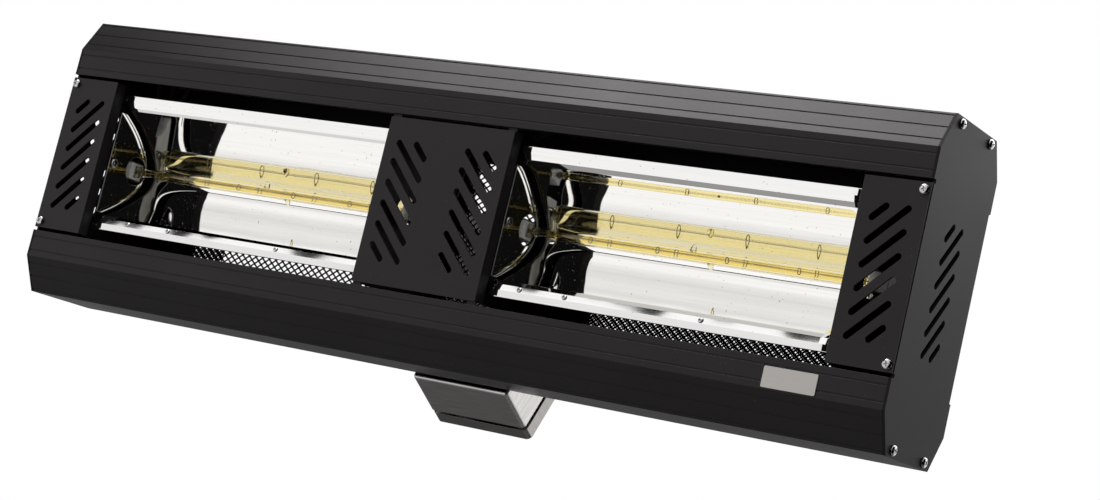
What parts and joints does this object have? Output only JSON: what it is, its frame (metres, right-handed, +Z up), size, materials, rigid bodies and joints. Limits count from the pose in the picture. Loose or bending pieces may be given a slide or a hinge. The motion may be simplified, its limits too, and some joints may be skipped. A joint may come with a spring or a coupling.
{
  "type": "wall-mounted infrared heater",
  "caption": "Wall-mounted quartz infrared heater: grooved black casing, polished reflector troughs behind slotted covers, guard mesh at the back and a clamped tilting wall bracket.",
  "frame": {"origin": "middle of the wall plate's back face, on the wall", "axes": "+X to the right seen from the front, +Y into the wall, +Z up; stored tilted 30 degrees face down, as pictured"},
  "size_m": [0.7044, 0.2099, 0.2119],
  "materials": {
    "coated_aluminium": "satin black powder coat on extruded and pressed aluminium",
    "coated_steel": "satin black powder coat on pressed steel",
    "brushed_bracket": "brushed stainless steel",
    "zinc_fasteners": "bright zinc plate",
    "polished_reflector": "polished and anodised",
    "quartz": "clear quartz with a gold tint",
    "tungsten": "dull wire",
    "white_ceramic": "unglazed",
    "spring_steel": "satin",
    "lead_sleeve": "glass fibre sleeve",
    "black_fibre": "matte",
    "black_plastic": "matte",
    "brass": "satin"
  },
  "bodies": {
    "wall_bracket": {"wall_plate": "brushed_bracket", "stud_spacers": "zinc_fasteners", "bracket_arm": "brushed_bracket", "arm_washers": "zinc_fasteners", "arm_nuts": "zinc_fasteners"},
    "heater": {"tilt_bracket_left": "coated_steel", "tilt_bracket_right": "coated_steel", "friction_washers": "black_fibre", "pivot_bolts": "zinc_fasteners", "clamp_bolts": "zinc_fasteners", "clamp_washers": "zinc_fasteners", "clamp_nuts": "zinc_fasteners", "bracket_screws": "zinc_fasteners", "bracket_slot_nuts": "zinc_fasteners", "top_profile": "coated_aluminium", "bottom_profile": "coated_aluminium", "end_plate_left": "coated_aluminium", "end_plate_right": "coated_aluminium", "end_plate_screws": "zinc_fasteners", "grille_left": "coated_steel", "grille_centre": "coated_steel", "grille_right": "coated_steel", "grille_screws": "zinc_fasteners", "reflector_left": "polished_reflector", "reflector_right": "polished_reflector", "reflector_end_left_outer": "polished_reflector", "reflector_end_left_inner": "polished_reflector", "reflector_end_right_inner": "polished_reflector", "reflector_end_right_outer": "polished_reflector", "lamp_plate_left_outer": "coated_steel", "lamp_plate_left_inner": "coated_steel", "lamp_plate_right_inner": "coated_steel", "lamp_plate_right_outer": "coated_steel", "lamp_plate_screws": "zinc_fasteners", "lamp_tube_left": "quartz", "lamp_tube_right": "quartz", "filament_left": "tungsten", "filament_right": "tungsten", "lamp_caps_left": "white_ceramic", "lamp_caps_right": "white_ceramic", "lamp_clip_left_outer": "spring_steel", "lamp_clip_left_inner": "spring_steel", "lamp_clip_right_inner": "spring_steel", "lamp_clip_right_outer": "spring_steel", "clip_screws": "zinc_fasteners", "lead_left_outer": "lead_sleeve", "lead_left_inner": "lead_sleeve", "lead_right_inner": "lead_sleeve", "lead_right_outer": "lead_sleeve", "terminal_block": "white_ceramic", "terminal_screws": "zinc_fasteners", "earth_stud": "brass", "back_panel": "coated_steel", "back_rivets": "coated_steel", "mesh_left": "coated_steel", "mesh_centre": "coated_steel", "mesh_right": "coated_steel", "cable_gland": "black_plastic", "gland_nut": "black_plastic", "gland_locknut": "black_plastic"}
  },
  "joints": [
    {"name": "tilt", "type": "hinge", "parent": "wall_bracket", "child": "heater", "pos_m": [0, -0.0765, 0.0327], "axis": [1, 0, 0], "range_deg": [-30, 0]}
  ]
}
